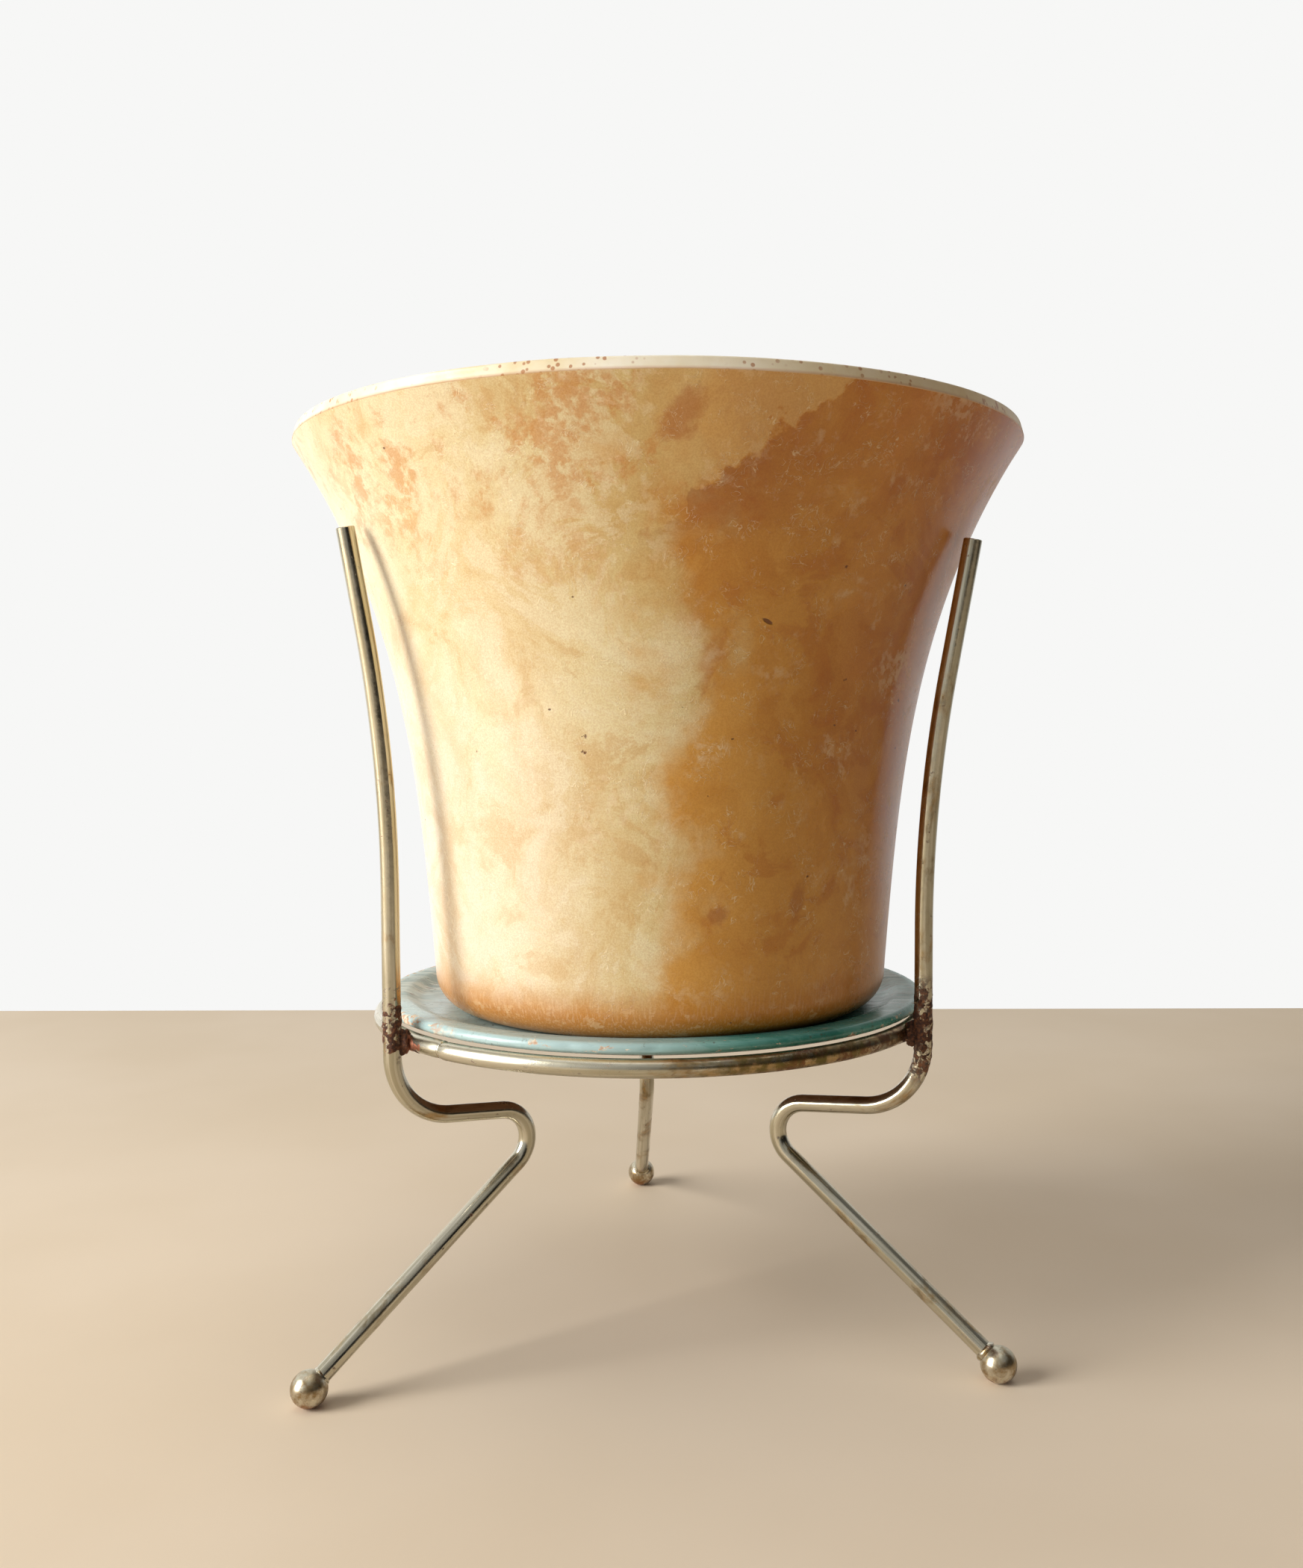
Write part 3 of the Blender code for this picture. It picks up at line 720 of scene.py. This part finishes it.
def make_pot():
    shell, rim, inside = range(3)               # the materials' places in the pot's list
    rows = [(r, 0.0, shell) for r in (10 * MM, 30 * MM, 50 * MM, 62 * MM)]
    foot = pot_radius(POT_CORNER)
    rows += [(r, z, shell)
             for r, z in arc(foot - POT_CORNER, POT_CORNER, POT_CORNER, -90, -4, 16)]
    for i in range(1, WALL_ROWS + 1):
        z = POT_CORNER + (POT_LIP_Z - 0.25 * MM - POT_CORNER) * (i / WALL_ROWS) ** 0.9
        rows.append((pot_radius(z), z, shell))
    lip = pot_radius(POT_LIP_Z)
    nose = 0.8 * MM
    rows += [(lip - 0.02 * MM, POT_LIP_Z, rim), (lip - 0.16 * MM, POT_LIP_Z + 0.25 * MM, rim)]
    rows += [(lip - (lip - POT_TOP_R) * t, POT_LIP_Z + (POT_H - nose - POT_LIP_Z) * t, rim)
             for t in (0.4, 0.7, 1.0)]
    rows += [(r, z, rim) for r, z in arc(POT_TOP_R - nose, POT_H - nose, nose, 15, 90, 4)]
    rows += [(POT_TOP_R - 1.8 * MM, POT_H, rim), (POT_TOP_R - 2.9 * MM, POT_H, rim),
             (POT_TOP_R - 3.5 * MM, POT_H - 0.35 * MM, rim),
             (POT_TOP_R - 4.2 * MM, POT_H - 1.2 * MM, inside)]
    top, bend = POT_H - 4 * MM, POT_CORNER - POT_WALL
    edge = POT_FLOOR + bend
    for i in range(INNER_ROWS):
        z = top + (edge - top) * i / INNER_ROWS
        rows.append((pot_inner(z), z, inside))
    rows += [(r, z, inside) for r, z in arc(pot_inner(edge) - bend, edge, bend, 0, -90, 10)]
    rows += [(r, POT_FLOOR, inside) for r in (60 * MM, 42 * MM, 24 * MM, 10 * MM)]
    bm = turned([(r, z) for r, z, _ in rows], POT_SEGS, uneven, [m for _, _, m in rows[1:]])
    piece("pot_shell", bm, [resin_shell(), resin_lip(), resin_inside()], "pot", ["pot"],
          POT_AT, crease=50)


# ---------------------------------------------------------------- the plate
PLATE_R, PLATE_RIM, PLATE_WELL, PLATE_FLOOR = 104.3 * MM, 4.2 * MM, 2.6 * MM, 4.0 * MM
PLATE_UNDERCUT = 3.2 * MM
PLATE_SEGS = 320
CUT_R = 100 * MM                              # the hand-cut edge starts here


def nibbled(radius, height, angle):
    """A hand-cut edge that isn't quite round, with small dents along it."""
    if radius < CUT_R:
        return radius, height
    around = Vector((math.cos(angle), math.sin(angle), 0.0))
    wave = 0.14 * MM * noise.noise(around * 2.3)
    dent = max(0.0, noise.noise(around * 26 + Vector((0, 0, height * 260))) - 0.33)
    share = min(1.0, (radius - CUT_R) / (3 * MM))
    return radius + share * (wave - 1.1 * MM * dent), height


def make_plate():
    nose = PLATE_RIM / 2
    well = -PLATE_WELL
    below = -PLATE_WELL - PLATE_FLOOR
    rows = [(r, below) for r in (10 * MM, 45 * MM, 75 * MM, 91.5 * MM)]
    rows += [(92.6 * MM, below + 0.15 * MM), (96.4 * MM, -PLATE_RIM - 0.2 * MM),
             (97.6 * MM, -PLATE_RIM)]
    rows += [(PLATE_R - PLATE_UNDERCUT + r * PLATE_UNDERCUT / nose, z)
             for r, z in arc(0, -nose, nose, -90, 0, 12)]
    rows += arc(PLATE_R - nose, -nose, nose, 10, 90, 9)
    rows += [(100.6 * MM, 0.0), (98.0 * MM, 0.0), (95.6 * MM, -0.02 * MM), (94.6 * MM, -0.25 * MM),
             (93.0 * MM, -0.95 * MM), (91.0 * MM, -1.9 * MM), (89.6 * MM, well + 0.2 * MM),
             (88.4 * MM, well)]
    rows += [(r, well) for r in (84 * MM, 76 * MM, 66 * MM, 40 * MM, 10 * MM)]
    bm = turned(rows, PLATE_SEGS, nibbled)
    piece("plate_board", bm, [painted_plate()], "plate", ["plate"], PLATE_AT,
          crease=50)


# ---------------------------------------------------------------- the stand
HOOP_SEGS, HOOP_RINGS, WELD_SEGS, WELD_STEPS = 24, 300, 20, 6
LEG_SEGS, LEG_STEP = 28, 1.6 * MM
COLLAR_SEGS, COLLAR_STEPS = 22, 9
UPRIGHT_SEGS, UPRIGHT_STEPS, BEND_SEGS, BEND_STEPS = 40, 34, 36, 40
UP = Vector((0, 0, 1))
SIDEWAYS = Vector((0, 1, 0))


def make_hoop(metal):
    bm = bmesh.new()
    layer = rod_space(bm)
    gap = 0.7 * MM / HOOP_R
    start = SEAM_AZ - math.pi / 2 + gap / 2
    rings = []
    for i in range(HOOP_RINGS + 1):
        a = start + (TAU - gap) * i / HOOP_RINGS
        out = Vector((math.cos(a), math.sin(a), 0))
        radius = ROD_R - (0.35 * MM if i in (0, HOOP_RINGS) else 0.0)
        step = 0.22 * MM * math.exp(-i / 5.0)       # one end sits a touch proud of the other
        centre = out * (HOOP_R + step * 0.6) + Vector((0, 0, -step))
        rings.append(ring_round(bm, layer, centre, out, UP, radius, (a - start) * HOOP_R,
                                HOOP_SEGS))
    tube(bm, rings)
    piece("hoop_rod", bm, [metal], "stand", ["hoop"], AXIS)


def make_weld(metal):
    """The bead that joins the hoop's ends, a little lumpy and below flush."""
    bm = bmesh.new()
    layer = rod_space(bm)
    rings = []
    length = 1.6 * MM
    for i in range(WELD_STEPS + 1):
        t = i / WELD_STEPS - 0.5
        a = SEAM_AZ - math.pi / 2 + t * length / HOOP_R
        out = Vector((math.cos(a), math.sin(a), 0))
        radius = ROD_R - 0.10 * MM - 0.5 * MM * (2 * abs(t)) ** 3

        def lumps(b):
            p = Vector((math.cos(b) * 1.4, math.sin(b) * 1.4, t * length * 600))
            return 0.24 * MM * noise.noise(p)
        rings.append(ring_round(bm, layer, out * HOOP_R, out, UP, radius, t * length,
                                WELD_SEGS, lumps))
    tube(bm, rings)
    piece("hoop_weld_bead", bm, [metal], "stand", ["hoop_weld"], AXIS)


def make_leg(side, leg, metal):
    corners, _, _ = leg_corners(leg)
    path = bent_path(corners, BENDS, LEG_STEP)
    bm = bmesh.new()
    layer = rod_space(bm)
    chamfer = 0.28 * MM
    rings = []
    along = 0.0
    for i, point in enumerate(path):
        if i:
            along += (point - path[i - 1]).length
        ahead = (path[min(i + 1, len(path) - 1)] - path[max(i - 1, 0)]).normalized()
        across = Vector((ahead.y, 0, -ahead.x))
        centre = Vector((point.x, 0, point.y))
        if i:
            rings.append(ring_round(bm, layer, centre, across, SIDEWAYS, ROD_R, along, LEG_SEGS))
        else:                                   # the top end's edge is broken
            down = Vector((ahead.x, 0, ahead.y)) * chamfer
            rings.append(ring_round(bm, layer, centre, across, SIDEWAYS, ROD_R - chamfer, 0.0,
                                    LEG_SEGS))
            rings.append(ring_round(bm, layer, centre + down, across, SIDEWAYS,
                                    ROD_R - 0.02 * MM, 0.3 * MM, LEG_SEGS))
    tube(bm, rings)
    piece("leg_rod_" + side, bm, [metal], "stand", ["leg_" + side],
          (AXIS.x, AXIS.y, 0), leg_turn(leg))


def sort_by_vertices(bm):
    """Put edges and faces in a fixed order: a new sphere's differs from run to run."""
    bm.verts.index_update()
    most = len(bm.verts)

    def place(part):
        number = 0
        for index in sorted(vert.index for vert in part.verts):
            number = number * most + index
        return number

    bm.edges.sort(key=place)
    bm.faces.sort(key=place)


def make_ball(side, leg, metal):
    """A ball foot: flat where it stands and where the rod meets it, and not quite true."""
    _, foot, up = leg_corners(leg)
    bm = bmesh.new()
    bmesh.ops.create_uvsphere(bm, u_segments=44, v_segments=28, radius=BALL_R)
    sort_by_vertices(bm)
    toward = Vector((up.x, 0, up.y))
    for vert in bm.verts:
        vert.co *= 1 + 0.006 * noise.noise(vert.co * 420 + Vector((leg["az"], 0, 0)))
        over = vert.co.dot(toward) - FACET
        if over > 0:
            vert.co -= toward * over
        vert.co.z = max(vert.co.z, -FLAT)
    piece("ball_" + side, bm, [metal], "stand", ["foot_ball_" + side],
          ball_middle(leg, foot), leg_turn(leg), crease=30)


def make_collar(side, leg, metal):
    """The little bead of braze between rod and ball."""
    _, foot, up = leg_corners(leg)
    toward = Vector((up.x, 0, up.y))
    across = Vector((up.y, 0, -up.x))
    size = leg["bead"]
    bm = bmesh.new()
    layer = rod_space(bm)
    rings = []
    for i in range(COLLAR_STEPS + 1):
        t = i / COLLAR_STEPS
        radius = ROD_R - 0.25 * MM + (0.35 + 0.75 * size) * MM * math.sin(math.pi * t) ** 0.8

        def lumps(b):
            p = Vector((math.cos(b) * 1.3, math.sin(b) * 1.3, t * 2.5 + leg["az"]))
            return 0.42 * MM * noise.noise(p) * math.sin(math.pi * t)
        centre = toward * (4.5 * MM + (1.6 + 1.2 * size) * MM * t)
        rings.append(ring_round(bm, layer, centre, across, SIDEWAYS, radius, t * 2 * MM,
                                COLLAR_SEGS, lumps))
    tube(bm, rings)
    piece("ball_bead_" + side, bm, [metal], "stand", ["foot_braze_" + side],
          ball_middle(leg, foot), leg_turn(leg))


def crust_sleeve(bm, layer, path, thickness, segs, seed):
    """A broken crust round a rod: it sinks under the rod's surface where thickness is negative."""
    rings = []
    along = 0.0
    for i, point in enumerate(path):
        if i:
            along += (point - path[i - 1]).length
        ahead = (path[min(i + 1, len(path) - 1)] - path[max(i - 1, 0)]).normalized()
        up = UP if abs(ahead.z) < 0.7 else SIDEWAYS
        aside = ahead.cross(up).normalized()
        across = aside.cross(ahead).normalized()
        end = i in (0, len(path) - 1)

        def swell(b):
            way = across * math.cos(b) + aside * math.sin(b)
            p = point + way * ROD_R
            lump = noise.fractal(p * 520 + Vector((seed, 0, 0)), 1.0, 2.0, 4)
            return -0.5 * MM if end else thickness(point, way) + 0.36 * MM * lump
        rings.append(ring_round(bm, layer, point, across, aside, ROD_R, along, segs, swell))
    tube(bm, rings)


def make_braze(side, leg, metal, seed):
    """Braze and scale where the hoop meets a leg, run along both of them."""
    bm = bmesh.new()
    layer = rod_space(bm)
    low, high, reach, cover = leg["low"], leg["high"], leg["reach"], leg["cover"]
    upright = [Vector((LEG_R, 0, HOOP_Z + low + (high - low) * i / UPRIGHT_STEPS))
               for i in range(UPRIGHT_STEPS + 1)]

    def on_leg(point, way):
        rise = (point.z - HOOP_Z) / (high if point.z > HOOP_Z else -low)
        fade = 1 - min(1.0, abs(rise)) ** 2
        covered = cover + (1 - cover) * max(0.0, -way.x)    # most on the side of the hoop
        return (0.62 * fade * covered - 0.32) * MM
    crust_sleeve(bm, layer, upright, on_leg, UPRIGHT_SEGS, seed)
    bend = [Vector((HOOP_R * math.cos(a), HOOP_R * math.sin(a), HOOP_Z))
            for a in (reach / HOOP_R * (2 * i / BEND_STEPS - 1) for i in range(BEND_STEPS + 1))]

    def on_hoop(point, way):
        fade = 1 - min(1.0, abs(point.y) / reach) ** 2
        under_plate = max(0.0, way.z) ** 2          # the plate keeps the hoop's top bare
        return (0.55 * fade - 0.28 - 1.1 * under_plate) * MM
    crust_sleeve(bm, layer, bend, on_hoop, BEND_SEGS, seed + 3.3)
    lump = bmesh.ops.create_icosphere(bm, subdivisions=4, radius=1.0)["verts"]
    centre = Vector(((HOOP_R + LEG_R) / 2, 0, HOOP_Z))
    for vert in lump:
        way = vert.co.normalized()
        size = 1 + 0.24 * noise.fractal(way * 2.2 + Vector((seed, 1, 2)), 1.0, 2.0, 4)
        vert.co = centre + Vector((way.x * 3.4, way.y * 4.6, way.z * 4.3)) * (size * MM)
        vert[layer] = vert.co
    piece("braze_" + side, bm, [metal], "stand", ["hoop_braze_" + side],
          (AXIS.x, AXIS.y, 0), leg_turn(leg), crease=180)


def make_stand():
    bead_metal = plated_rod("bead_metal", tarnish=0.45, rust=0.8)
    balls = ball_metal()
    # the hoop's bronze and olive towards +X are painted shade over its tarnish
    make_hoop(plated_rod("hoop_metal", tarnish=0.55, rust=0.9, painted_shade_right=True))
    make_weld(bead_metal)
    for number, (side, leg) in enumerate(LEGS.items()):
        from_top = leg["top_z"] - HOOP_Z
        burnt = (from_top - leg["high"], from_top + leg["burnt"], leg["scorch"])
        tarnish = 0.26 + 0.08 * number
        make_leg(side, leg, plated_rod("leg_metal_" + side, tarnish, 0.35, burnt))
        make_ball(side, leg, balls)
        make_collar(side, leg, bead_metal)
        crust = braze_crust("braze_crust_" + side, leg["copper"], leg["pale"])
        make_braze(side, leg, crust, 7.0 + 5 * number)


# ---------------------------------------------------------------- studio
def make_floor():
    """A plain pale table-like floor with a straight back edge."""
    bm = bmesh.new()
    side, front, back = 2.6, -2.2, AXIS.y + 0.575
    corners = [(-side, front), (side, front), (side, back), (-side, back)]
    bm.faces.new([bm.verts.new((x, y, 0)) for x, y in corners])
    mesh = bpy.data.meshes.new("floor")
    bm.to_mesh(mesh)
    bm.free()
    g = Material("floor_pale", Roughness=0.95)
    at = g.coords()
    g.out("Base Color", g.mix(g.ease(g.noise(at, 5, 3, 0.5), 0.3, 0.7), rgb(234, 215, 188),
                              rgb(240, 222, 197)))
    mesh.materials.append(g.mat)
    floor = bpy.data.objects.new("floor", mesh)
    bpy.context.scene.collection.objects.link(floor)


def area_light(name, at, target, size, power, colour):
    light = bpy.data.lights.new(name, "AREA")
    light.shape = "RECTANGLE"
    light.size, light.size_y = size
    light.energy = power
    light.color = colour
    obj = bpy.data.objects.new(name, light)
    obj.location = at
    obj.rotation_euler = (Vector(target) - Vector(at)).to_track_quat("-Z", "Y").to_euler()
    bpy.context.scene.collection.objects.link(obj)


def make_lights():
    """A big window on the left, and weak light from the front and from overhead."""
    middle_up = (0, 0, 0.2)
    area_light("window", (-2.35, -0.95, 1.05), middle_up, (1.3, 1.9), 92, (1.0, 0.99, 0.975))
    area_light("fill", (0.6, -1.5, 1.3), middle_up, (1.2, 1.2), 1.2, (1.0, 0.97, 0.94))
    area_light("overhead", (0.1, -0.1, 2.4), (0, 0, 0), (2.0, 2.0), 11, (1.0, 0.98, 0.95))


def make_world():
    """White to the eye; as a light, bright at the left and behind, dim at the right and in front.

    Matt surfaces get less of it than glossy ones, so that the lamps shape them.
    """
    world = bpy.data.worlds.new("studio")
    bpy.context.scene.world = world
    world.use_nodes = True
    world.node_tree.nodes.clear()
    g = Graph(world.node_tree)
    x, y, z = g.split(g.node("TexCoord").outputs["Generated"])
    left = g.ease(x, 0.45, -0.55, 0.015, 0.62)
    behind = g.ease(y, 0.05, 0.8, 0.0, 0.66)
    above = g.ease(z, 0.2, 1.0, 0.0, 0.16)
    matt = g.ease(g.node("LightPath").outputs["Is Diffuse Ray"], 0.0, 1.0, 1.0, 0.3)
    glow = g.node("Background")
    g.put(glow.inputs["Strength"], g.mul(g.add(left, behind, above), matt))
    g.put(glow.inputs["Color"], (1.0, 0.985, 0.96, 1.0))
    seen = g.node("Background")
    g.put(seen.inputs["Color"], rgb(247, 247, 246))
    mix = g.node("MixShader")
    eye = g.node("LightPath").outputs["Is Camera Ray"]
    for socket, value in zip(mix.inputs, (eye, glow.outputs[0], seen.outputs[0])):
        g.put(socket, value)
    g.put(g.node("OutputWorld").inputs[0], mix.outputs[0])


def make_camera():
    """A phone's wide lens, close in front, a little above the middle and looking slightly down."""
    data = bpy.data.cameras.new("camera")
    data.lens = 32.47                           # mm, on a 36 mm wide sensor
    data.sensor_width = 36.0
    data.shift_x, data.shift_y = -0.0044, 0.0128
    data.clip_start = 0.02
    camera = bpy.data.objects.new("camera", data)
    bpy.context.scene.collection.objects.link(camera)
    pan, down, roll = (math.radians(a) for a in (0.73, 3.257, -0.27))
    turn = (Matrix.Rotation(pan, 4, "Z") @ Matrix.Rotation(math.pi / 2 - down, 4, "X")
            @ Matrix.Rotation(roll, 4, "Z"))
    camera.matrix_world = Matrix.Translation((AXIS.x + 0.0101, AXIS.y - 0.5491, 0.2292)) @ turn
    bpy.context.scene.camera = camera


make_camera()
make_world()
make_floor()
make_lights()
bpy.context.scene.view_settings.view_transform = "Standard"
make_pot()
make_plate()
make_stand()
